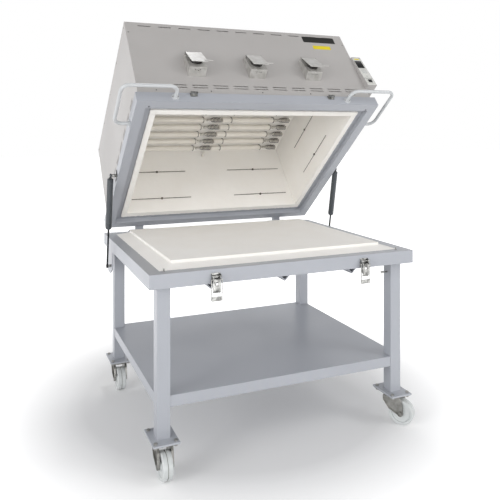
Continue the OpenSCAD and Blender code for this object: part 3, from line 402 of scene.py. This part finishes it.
class KilnSizes(bpy.types.PropertyGroup):
    """Sizes of the pieces that the script adds."""
    wire: millimetres("Heating wire", "Diameter of the wire", 3.2, 1, 4)
    turns: IntProperty(name="Turns", description="Turns of wire on each open coil", default=12, min=8,
                       max=30)
    bead: millimetres("Weld bead", "Leg of a fillet weld", 4, 2, 8)
    screw: millimetres("Screw head", "Diameter of a casing screw's head", 7, 4, 12)
    handle_screw: millimetres("Handle screw head", "Diameter of the head of a handle's screw", 5.5, 4, 8)
    panel_screw: millimetres("Panel screw head", "Diameter of the head of a control panel's screw", 5, 3, 8)
    rivet: millimetres("Latch rivet head", "Diameter of the head of a rivet in a latch base", 6, 3, 8)
    catch_rivet: millimetres("Catch rivet head", "Diameter of the head of a rivet in a latch catch", 5, 3, 8)


class KILN_OT_finishes(bpy.types.Operator):
    """Makes every finish and gives each CAD node the one it has on the real kiln"""
    bl_idname = "kiln.finishes"
    bl_label = "Finishes"

    def execute(self, context):
        c = context.scene.kiln_finishes
        # paint: half gloss blue-grey on the frames, duller warm grey on the casing, glossier pale handles
        enamel("blue_grey_stoved_enamel", c.enamel_low, c.enamel_high, 0.38, edge=1.6)
        enamel("silver_grey_casing_enamel", c.casing_low, c.casing_high, 0.42, grain=1.2)
        enamel("light_grey_handle_enamel", "#bfc2c4", "#cbcdce", 0.34)
        enamel("slate_strut_enamel", "#33383c", "#454a4f", 0.3, grain=0.8, edge=0.6)
        # metal: weathered galvanised sheet, shiny zinc plate, a dark rod, and wire that heat has browned
        # flue boxes: the sheet a tone darker than the flaps', as painted shade
        rolled_steel("galvanised_flue_sheet", "#a3a19c", "#bab8b4", 0.42, metallic=0.3)
        rolled_steel("pale_galvanised_flap_sheet", "#b6b4b0", "#c4c3c0", 0.45, metallic=0.1)
        rolled_steel("zinc_plated_castor_steel", "#8a8985", "#a9a8a4", 0.36, metallic=0.9)
        rolled_steel("bright_zinc_steel", "#70706e", "#bcbcb9", 0.3, patches=14)
        rolled_steel("grey_zinc_screw", "#5f5f5c", "#7c7c79", 0.4, metallic=0.7)
        rolled_steel("nitrided_piston_rod", "#26282a", "#3a3d40", 0.22)
        rolled_steel("oxidised_heating_wire", "#3b3430", "#5a524b", 0.62, metallic=0.8)
        rolled_steel("heat_stained_hook_wire", "#5d5852", "#847d74", 0.5, metallic=0.9)
        painted_foot("painted_foot_on_zinc_plate", c.enamel_high, "#8f8e8a", "#b4b3af")
        # chamber: chalky fibre, dark strands in its slits as painted shade, and cream tubes
        fibre("vacuum_formed_lining_fibre", c.fibre_low, c.fibre_high)
        fibre("white_bed_fibre", c.bed_low, c.bed_high, depth=0.5)
        fibre("scorched_slit_fibre", "#4c4139", "#74675b", depth=0.3)
        fired_ceramic("fired_ceramic_tube", "#e9e3d8", "#f4f0e8")
        # plastic: satin mouldings and films, a nearly smooth display window, and painted shade in the treads
        moulded("light_grey_panel_film", "#d0d0cb", "#dadad5", 0.45)
        moulded("black_switch_plastic", "#101113", "#1a1b1d", 0.3)
        moulded("black_gland_polyamide", "#232527", "#303235", 0.45)
        moulded("white_cast_polyamide", "#c3c7c7", "#d6d9d8", 0.32)
        moulded("black_display_glass", "#08090a", "#0d0f11", 0.08, grain=4)
        moulded("grey_key_film", "#a9abac", "#b6b8b9", 0.5)
        moulded("grimy_tread_groove", "#6c6b66", "#8b8a84", 0.7)
        moulded("blank_black_plate", c.plate_black, "#1f1f1c", 0.3)
        moulded("blank_yellow_plate", "#d9c518", c.plate_yellow, 0.4)
        slots = {s["node"]: s["material_slot"] for s in frame["record"]["subparts"]}
        for name, node in frame["nodes"].items():
            material = bpy.data.materials[NODE_FINISH.get(name, SLOT_FINISH[slots[name]])]
            for slot in node.material_slots:
                slot.material = material
        return {"FINISHED"}


# Stage

# metres and watts: soft key from the left, a little light over the rear that throws the shadow forwards, a
# lamp for the right of the hood, and a low front lamp that reaches into the chamber
LAMPS = (("key", (-5.4, -2.4, 2.0), 2.4, 98), ("top", (0.6, 2.6, 5.2), 1.0, 45),
         ("right", (2.3, -2.5, 2.7), 1.2, 18), ("front", (0.3, -5.4, 0.6), 2.6, 62))
LAMPS_AIM = (0, 0, 0.9)
FLOOR_HALF, FLOOR_DROP = 30, 0.0005
CAMERA_PLACE, CAMERA_TURN, CAMERA_SHIFT = (-1.3025, -3.2805, 1.5271), math.radians(-23.03), -0.24286


def seen_by(tree, *rays):
    """1 where a ray of one of these kinds arrives, from the Light Path's outputs, else 0."""
    path = add(tree, "ShaderNodeLightPath")
    seen = (path, rays[0])
    for ray in rays[1:]:
        seen = (add(tree, "ShaderNodeMath", {"operation": "MAXIMUM"}, {0: seen, 1: (path, ray)}), 0)
    return seen


def studio_floor():
    """Floor that is pale and matt for light. What the camera or a mirror sees of it is lifted with the
    distance from the kiln, from almost nothing at 0.85 m up to white past 1.6 m."""
    mesh = bpy.data.meshes.new("floor")
    h = FLOOR_HALF
    mesh.from_pydata([(-h, -h, 0), (h, -h, 0), (h, h, 0), (-h, h, 0)], [], [(0, 1, 2, 3)])
    floor = bpy.data.objects.new("floor", mesh)
    bpy.context.collection.objects.link(floor)
    floor.location.z = -FLOOR_DROP
    material = bpy.data.materials.new("white_studio_floor")
    material.use_nodes = True
    tree = material.node_tree
    tree.nodes.clear()
    seen = seen_by(tree, "Is Camera Ray", "Is Glossy Ray", "Is Transmission Ray")
    matt = add(tree, "ShaderNodeBsdfDiffuse", {"Color": (0.86, 0.86, 0.86, 1)})
    where = add(tree, "ShaderNodeTexCoord")
    reach = add(tree, "ShaderNodeVectorMath", {"operation": "LENGTH"}, {0: (where, "Object")})
    level = add(tree, "ShaderNodeMapRange",
                {"From Min": 0.85, "From Max": 1.6, "To Min": 0.04, "To Max": 0.75},
                {"Value": (reach, "Value")})
    lift = add(tree, "ShaderNodeMath", {"operation": "MULTIPLY"}, {0: seen, 1: (level, "Result")})
    glow = add(tree, "ShaderNodeEmission", {"Color": (1, 1, 1, 1)}, {"Strength": (lift, 0)})
    both = add(tree, "ShaderNodeAddShader", {}, {0: (matt, 0), 1: (glow, 0)})
    add(tree, "ShaderNodeOutputMaterial", {}, {"Surface": (both, 0)})
    mesh.materials.append(material)
    return floor


def studio_sky(scene):
    """World that fills the object, bright at the horizon, dim overhead, and white to the camera."""
    world = bpy.data.worlds.new("sky")
    scene.world = world
    world.use_nodes = True
    tree = world.node_tree
    tree.nodes.clear()
    seen = seen_by(tree, "Is Camera Ray", "Is Transmission Ray")
    where = add(tree, "ShaderNodeTexCoord")
    height = add(tree, "ShaderNodeSeparateXYZ", {}, {"Vector": (where, "Generated")})
    level = add(tree, "ShaderNodeMapRange",
                {"From Min": 0.0, "From Max": 1.0, "To Min": 1.27, "To Max": 0.26}, {"Value": (height, "Z")})
    fill = add(tree, "ShaderNodeBackground", {"Color": (0.99, 0.99, 1, 1)}, {"Strength": (level, "Result")})
    white = add(tree, "ShaderNodeBackground", {"Color": (1, 1, 1, 1), "Strength": 1.0})
    mix = add(tree, "ShaderNodeMixShader", {}, {0: seen, 1: (fill, 0), 2: (white, 0)})
    add(tree, "ShaderNodeOutputWorld", {}, {"Surface": (mix, 0)})


class KILN_OT_stage(bpy.types.Operator):
    """Makes the floor, the soft lamps, the sky and the camera"""
    bl_idname = "kiln.stage"
    bl_label = "Stage"

    def execute(self, context):
        scene = context.scene
        scene.view_settings.view_transform = "Standard"
        floor = studio_floor()
        studio_sky(scene)
        for name, place, size, power in LAMPS:
            lamp = bpy.data.lights.new(name, "AREA")
            lamp.size, lamp.energy = size, power
            obj = bpy.data.objects.new(name, lamp)
            context.collection.objects.link(obj)
            obj.location = place
            obj.rotation_euler = (Vector(LAMPS_AIM) - Vector(place)).to_track_quat("-Z", "Y").to_euler()
        camera = bpy.data.cameras.new("camera")
        camera.lens, camera.sensor_width = 43.478, 36
        camera.shift_y = CAMERA_SHIFT
        camera.clip_end = 200
        obj = bpy.data.objects.new("camera", camera)
        context.collection.objects.link(obj)
        obj.location = CAMERA_PLACE
        obj.rotation_euler = (math.radians(90), 0, CAMERA_TURN)
        scene.camera = obj
        return {"FINISHED"}


# Pieces. All their sizes and places are in millimetres.

class KILN_OT_plates(bpy.types.Operator):
    """Makes the blank black plate and yellow strips on the casing and the control panel"""
    bl_idname = "kiln.plates"
    bl_label = "Blank plates"

    def execute(self, context):
        edge = [(0, 0), (0, 0.5), (0.5, 1.0)]
        plate_x, black_z, yellow_z, strip_z = 497, 536, 471, 234
        # name, size and corner, place, place function, finish, slot
        plates = (
            ("blank_black_plate", (215, 48, 1.5), (plate_x, CASING_FRONT, black_z), from_hood,
             "blank_black_plate", "switch_plastic"),
            ("blank_yellow_strip", (118, 30, 2), (plate_x, CASING_FRONT, yellow_z), from_hood,
             "blank_yellow_plate", "control_plastic"),
            ("panel_yellow_strip", (34, 9, 1), (0, 0, strip_z), from_panel,
             "blank_yellow_plate", "control_plastic"),
        )
        for name, size, at, place, finish, slot in plates:
            piece(name, repeated(pressed_plate(*size, edge), [at], FRONT), place, finish, "hood")
        return {"FINISHED"}


class KILN_OT_controls(bpy.types.Operator):
    """Makes the display window, the key field, its keys, and the screws and joint line of the panel"""
    bl_idname = "kiln.controls"
    bl_label = "Controls"

    def execute(self, context):
        edge = [(0, 0), (0, 0.3), (0.4, 0.6)]
        domed = [(0, 0), (0.2, 0.8), (1.2, 1.2), (2.5, 1.1)]
        screw = context.scene.kiln_sizes.panel_screw / MM
        keys_at = [(x, -0.5, z) for x in (-12, 0, 12) for z in (110, 126)]
        screws_at = [(0, 0, 80), (-21, 0, 244), (21, 0, 244)]
        # name, shape, places on the panel, finish, slot
        controls = (
            ("display_window", pressed_plate(44, 66, 2, edge), [(-3, -2, 184)],
             "black_display_glass", "switch_plastic"),
            ("key_field", pressed_plate(40, 50, 2, edge), [(0, 0, 122)],
             "light_grey_panel_film", "control_plastic"),
            ("panel_keys", pressed_plate(8, 8, 3.9, domed), keys_at, "grey_key_film", "control_plastic"),
            ("panel_joint_line", pressed_plate(54, 2.6, 0.6, edge[:2]), [(0, 0, 62)],
             "black_switch_plastic", "switch_plastic"),
            ("panel_screws", screw_head(screw), screws_at, "grey_zinc_screw", "bright_steel"),
        )
        for name, shape, at, finish, slot in controls:
            piece(name, repeated(shape, at, FRONT), from_panel, finish, "hood")
        return {"FINISHED"}


def screw_head(width):
    """Pan head turned from its profile, in shares of its radius, with a round socket in its middle."""
    r = width / 2
    return revolved([(0, -0.3), (r, -0.3), (r, 0.15 * r), (0.82 * r, 0.42 * r), (0.45 * r, 0.56 * r),
                     (0.36 * r, 0.54 * r), (0.32 * r, 0.18 * r), (0, 0.16 * r)], 14)


class KILN_OT_fasteners(bpy.types.Operator):
    """Makes the screws of the casing and handles and the rivets of the latches"""
    bl_idname = "kiln.fasteners"
    bl_label = "Screws and rivets"

    def execute(self, context):
        s = context.scene.kiln_sizes
        # casing: a low row and two high screws in front, and two rows on the rear and on each side. The
        # right side has none by the control box
        low = [(x, CASING_FRONT, 90) for x in (-568, -284, 2, 288, 569)]
        high = [(x, CASING_FRONT, 505) for x in (-651, 651)]
        rear = [(x, CASING_REAR, z) for x in (-640, -320, 0, 320, 640) for z in (80, 566)]
        side_y, side_z = (-830, -568, -306, -46), (78, 568)
        left = [(-CASING_SIDE, y, z) for y in (-1090, *side_y) for z in side_z]
        right = [(CASING_SIDE, y, z) for y in side_y for z in side_z]
        head = screw_head(s.screw / MM)
        casing = joined(repeated(head, low + high, FRONT), repeated(head, rear, REAR),
                        repeated(head, left, LEFT), repeated(head, right, RIGHT))
        piece("casing_screws", casing, from_hood, "grey_zinc_screw", "hood")
        # handles: two screws by each foot
        apart = 14
        feet = [(x + d, HANDLE_FOOT_FRONT, HANDLE_Z) for x in (-HANDLE_FRONT_X, HANDLE_FRONT_X)
                for d in (-apart, apart)]
        sides = [(x, HANDLE_SIDE_Y + d, HANDLE_Z) for x in (-HANDLE_FOOT_SIDE, HANDLE_FOOT_SIDE)
                 for d in (-apart, apart)]
        handles = repeated(screw_head(s.handle_screw / MM), feet + sides,
                           np.stack([FRONT] * 4 + [LEFT] * 2 + [RIGHT] * 2))
        piece("handle_screws", handles, from_hood, "grey_zinc_screw", "hood")
        # latches: two rivets in each base on the beam, and two in each catch on the hood
        bases = [(x, -573, z) for x in (-LATCH_X, LATCH_X) for z in (844, 854)]
        piece("latch_rivets", repeated(screw_head(s.rivet / MM), bases, FRONT), from_table,
              "bright_zinc_steel", "table")
        catches = [(x + d, -1139, 48) for x in (-LATCH_X, LATCH_X) for d in (-11, 11)]
        piece("catch_rivets", repeated(screw_head(s.catch_rivet / MM), catches, FRONT), from_hood,
              "bright_zinc_steel", "hood")
        return {"FINISHED"}


class KILN_OT_heating_wire(bpy.types.Operator):
    """Winds the open coils of heating wire, each with a narrow end that runs back into its tube"""
    bl_idname = "kiln.heating_wire"
    bl_label = "Heating wire"

    def execute(self, context):
        s = context.scene.kiln_sizes
        rows, first_row, pitch, height = 11, -182, 72, 461
        stretches = (-70, 412)
        length, narrow, swelling = 110, 7.6, 7.6
        # x = along the tube, y and z = radius x (cos, sin) of the turn angle. The radius grows from narrow
        # to the full coil by a smooth step over a fifth of the length
        t = np.linspace(0, 1, s.turns * 16)
        angle = 2 * math.pi * s.turns * t
        step = np.clip((t - 0.3) / 0.22, 0, 1)
        radius = narrow + swelling * step * step * (3 - 2 * step)
        path = np.stack([t * length + 1, radius * np.cos(angle), radius * np.sin(angle)], 1)
        coil = tube(path, s.wire / MM / 2, 5, up=(1, 0, 0.01))
        starts = [(x, first_row - pitch * i, height) for i in range(rows) for x in stretches]
        wire = piece("heating_wire", repeated(coil, starts), from_hood, "oxidised_heating_wire", "hood")
        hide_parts("heating_coils")
        return {"FINISHED"}


def rectangle_path(half, y0, y1, z, count):
    """Points at even steps round a rectangle at height z, from its first corner and back to it: each
    coordinate is read off the corners by the length run so far."""
    corners = np.array([(-half, y0), (half, y0), (half, y1), (-half, y1), (-half, y0)], float)
    run = np.concatenate([[0], np.cumsum(np.hypot(*np.diff(corners, axis=0).T))])
    t = np.linspace(0, run[-1], count)
    return np.stack([np.interp(t, run, corners[:, 0]), np.interp(t, run, corners[:, 1]),
                     np.full(count, float(z))], 1)


def frayed(path, radius, seed):
    """Fibre edge: a tube along the path whose centre and radius wander by smoothed noise of about a third
    of the radius."""
    rng = np.random.default_rng(seed)
    noise = rng.normal(size=(len(path), 4))
    soft = np.stack([np.convolve(noise[:, k], [0.25, 0.5, 0.25], "same") for k in range(4)], 1)
    return tube(path + soft[:, :3] * radius * [0.3, 0.3, 0.22], radius * (1 + 0.28 * soft[:, 3]), 7)


def slit(middle, wall, height, lengthwise, seed):
    """Slit in the lining: a strand of 1.5 to 2 mm radius, half sunk in its wall, along X or, lengthwise,
    along Y. Its height wanders by the running sum of small steps."""
    reach, count = 189, 60
    rng = np.random.default_rng(seed)
    along = np.linspace(middle - reach, middle + reach, count)
    wander = height + np.cumsum(rng.normal(size=count)) * 0.12
    flat = np.full(count, float(wall))
    path = np.stack([flat, along, wander] if lengthwise else [along, flat, wander], 1)
    return tube(path, 1.5 + 0.5 * rng.random(count), 6)


class KILN_OT_fibre_edges(bpy.types.Operator):
    """Makes the frayed edges of the lining and the bed, and the slits that let the lining expand"""
    bl_idname = "kiln.fibre_edges"
    bl_label = "Fibre edges"

    def execute(self, context):
        # half width, front, rear, height and points of each edge, then its radius and seed
        lip = frayed(rectangle_path(594, -1050, -86, 21.2, 1400), 3.0, 3)
        mouth = frayed(rectangle_path(566.6, -1021.6, -118.4, 20.4, 1300), 2.2, 4)
        piece("lining_edge_fibre", joined(lip, mouth), from_hood, "vacuum_formed_lining_fibre", "hood")
        rim = frayed(rectangle_path(631, -511.5, 490.5, 898.6, 1400), 1.8, 5)
        slab = frayed(rectangle_path(561, -448, 444, 917.5, 1300), 2.2, 6)
        piece("bed_edge_fibre", joined(rim, slab), from_table, "white_bed_fibre", "table")
        # two slits at each of two heights in the front and rear walls, and one in each side wall
        front_wall, rear_wall, side_wall, chamber_middle = -1016.8, -123.2, 564.2, -545
        cuts = []
        for k, z in enumerate((114, 316)):
            cuts += [slit(x, wall, z, False, 10 + 4 * k + 2 * m + w)
                     for m, x in enumerate((-335, 335)) for w, wall in enumerate((front_wall, rear_wall))]
            cuts += [slit(chamber_middle, wall, z, True, 30 + 2 * k + m)
                     for m, wall in enumerate((-side_wall, side_wall))]
        # the slits are dark fibre strands: painted shade in the cuts
        piece("lining_slits", joined(*cuts), from_hood, "scorched_slit_fibre", "hood")
        return {"FINISHED"}


def weld_bead(start, end, leg):
    """Fillet weld: a round strand from start to end, half sunk in the corner, whose radius ripples."""
    ripple = 3.0
    run = math.dist(start, end)
    t = np.linspace(0, 1, int(run / 0.9) + 2)[:, None]
    path = np.asarray(start, float) * (1 - t) + np.asarray(end, float) * t
    ends = np.clip(np.minimum(t[:, 0], 1 - t[:, 0]) * run / 3, 0.25, 1)
    return tube(path, 0.62 * leg * ends * (1 + 0.1 * np.cos(2 * math.pi * t[:, 0] * run / ripple)), 7)


class KILN_OT_welds(bpy.types.Operator):
    """Lays the weld beads round both ends of the legs and the weld rings round the handles' feet"""
    bl_idname = "kiln.welds"
    bl_label = "Weld beads"

    def execute(self, context):
        leg = context.scene.kiln_sizes.bead / MM
        foot_top, beam_under = 167.0, 836.0
        beads = []
        for x in (-LEG_X, LEG_X):
            for y in (LEG_FRONT, LEG_REAR):
                for z in (foot_top, beam_under):
                    square = [(x + i * LEG_HALF, y + j * LEG_HALF, z)
                              for i, j in ((-1, -1), (1, -1), (1, 1), (-1, 1), (-1, -1))]
                    beads += [weld_bead(p, q, leg) for p, q in zip(square, square[1:])]
        piece("leg_weld_beads", joined(*beads), from_table, "blue_grey_stoved_enamel", "table")
        # a ring round each foot of the handles, just proud of the rim frame
        radius, strand, proud = 9.5, 1.6, 0.4
        a = np.linspace(0, 2 * math.pi, 60)
        flat, across, height = np.zeros(60), radius * np.cos(a), HANDLE_Z + radius * np.sin(a)
        rings = [tube(np.stack([x + across, flat + HANDLE_FOOT_FRONT - proud, height], 1), strand, 6,
                      up=(0, 1, 0)) for x in (-HANDLE_FRONT_X, HANDLE_FRONT_X)]
        rings += [tube(np.stack([flat + x, HANDLE_SIDE_Y + across, height], 1), strand, 6,
                       up=(1, 0, 0)) for x in (-HANDLE_FOOT_SIDE - proud, HANDLE_FOOT_SIDE + proud)]
        piece("handle_weld_rings", joined(*rings), from_hood, "light_grey_handle_enamel", "hood")
        return {"FINISHED"}


# x, y and swivel angle in degrees of each castor
CASTORS = {"fl": (-LEG_X, LEG_FRONT, 0), "fr": (LEG_X, LEG_FRONT, 37),
           "rl": (-LEG_X, LEG_REAR, 0), "rr": (LEG_X, LEG_REAR, 0)}


class KILN_OT_castor_details(bpy.types.Operator):
    """Makes a dark ring of painted shade in the parting groove, and the bearing covers of each wheel"""
    bl_idname = "kiln.castor_details"
    bl_label = "Castor details"

    def execute(self, context):
        trail, axle_height, hub_half = 52, 62.5, 25
        groove = revolved([(57.0, -2.4), (60.4, -2.4), (60.8, -2.1), (60.8, 2.1), (60.4, 2.4), (57.0, 2.4),
                           (57.0, -2.4)], 72)
        cover = revolved([(7.2, 0), (15.5, 0), (15.5, 0.25), (14.6, 0.5), (9.0, 0.5), (8.6, 0.3), (7.2, 0.3),
                          (7.2, 0)], 32)
        for name, (x, y, turn) in CASTORS.items():
            t = math.radians(turn)
            axis = np.array([math.cos(t), math.sin(t), 0])
            centre = np.array([x + trail * math.sin(t), y - trail * math.cos(t), axle_height])
            # the dark ring in the bottom of each tread groove is painted shade
            piece("tread_groove_" + name, repeated(groove, [centre], facing(axis)), from_table,
                  "grimy_tread_groove", "wheel_" + name)
            covers = repeated(cover, [centre + hub_half * axis, centre - hub_half * axis],
                              [facing(axis), facing(-axis)])
            piece("bearing_cover_" + name, covers, from_table, "black_gland_polyamide", "wheel_" + name)
        return {"FINISHED"}


class KILN_OT_strut_ends(bpy.types.Operator):
    """Makes the black socket at the upper end of each gas strut"""
    bl_idname = "kiln.strut_ends"
    bl_label = "Strut ends"

    def execute(self, context):
        strut_x, low_y, low_z = 712, 335, 753
        lean, length = math.radians(11.107), 525.70
        along = np.array([0, -math.sin(lean), math.cos(lean)])
        socket = revolved([(0, 8.8), (6.4, 8.8), (8.2, 12), (8.2, 22), (7.2, 30), (6.2, 33), (0, 33)], 28)
        for side, x in (("left", -strut_x), ("right", strut_x)):
            end = np.array([x, low_y, low_z]) + along * length
            top = repeated(socket, [end], facing(-along, up=(1, 0, 0)))
            piece(side + "_cylinder_socket", top, from_table, "black_gland_polyamide", side + "_cylinder")
        return {"FINISHED"}


CLASSES = (KilnFinishes, KilnSizes, KILN_OT_finishes, KILN_OT_stage, KILN_OT_plates, KILN_OT_controls,
           KILN_OT_fasteners, KILN_OT_heating_wire, KILN_OT_fibre_edges, KILN_OT_welds,
           KILN_OT_castor_details, KILN_OT_strut_ends)
STEPS = ("stage", "finishes", "plates", "controls", "fasteners", "heating_wire", "fibre_edges", "welds",
         "castor_details", "strut_ends")


class KILN_PT_panel(bpy.types.Panel):
    """Lists the kiln's sizes, colours and steps"""
    bl_idname = "KILN_PT_panel"
    bl_label = "Bead annealing kiln"
    bl_space_type = "VIEW_3D"
    bl_region_type = "UI"
    bl_category = "Kiln"

    def draw(self, context):
        for group in (context.scene.kiln_sizes, context.scene.kiln_finishes):
            for name in group.bl_rna.properties.keys():
                if name not in ("rna_type", "name"):
                    self.layout.prop(group, name)
        for step in STEPS:
            self.layout.operator("kiln." + step)


def register():
    for c in (*CLASSES, KILN_PT_panel):
        bpy.utils.register_class(c)
    bpy.types.Scene.kiln_finishes = PointerProperty(type=KilnFinishes)
    bpy.types.Scene.kiln_sizes = PointerProperty(type=KilnSizes)


def unregister():
    del bpy.types.Scene.kiln_finishes
    del bpy.types.Scene.kiln_sizes
    for c in reversed((*CLASSES, KILN_PT_panel)):
        bpy.utils.unregister_class(c)


def main():
    register()
    for step in STEPS:
        getattr(bpy.ops.kiln, step)()


if __name__ == "__main__":
    main()
